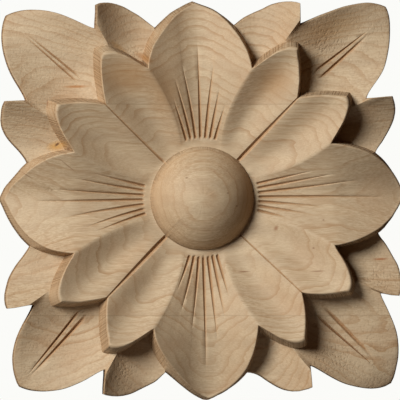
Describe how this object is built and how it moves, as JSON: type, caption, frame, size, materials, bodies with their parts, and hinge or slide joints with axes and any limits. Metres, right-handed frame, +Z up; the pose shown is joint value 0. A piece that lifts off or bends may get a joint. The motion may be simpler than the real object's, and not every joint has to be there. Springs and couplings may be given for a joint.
{
  "type": "carved wooden rosette",
  "caption": "Square carved wooden rosette: a round boss, petals over pointed corner leaves, and a flat back for fixing to a surface.",
  "frame": {"origin": "centre of the flat back, behind the boss", "axes": "+Y out of the flat back, into the wall that holds it; -Y towards the viewer; +X to the viewer's right; +Z up"},
  "size_m": [0.1282, 0.022, 0.1282],
  "materials": {
    "carved_wood": "unfinished pale hardwood, carved and lightly sanded"
  },
  "bodies": {
    "root": {"rosette": "carved_wood"}
  },
  "joints": []
}
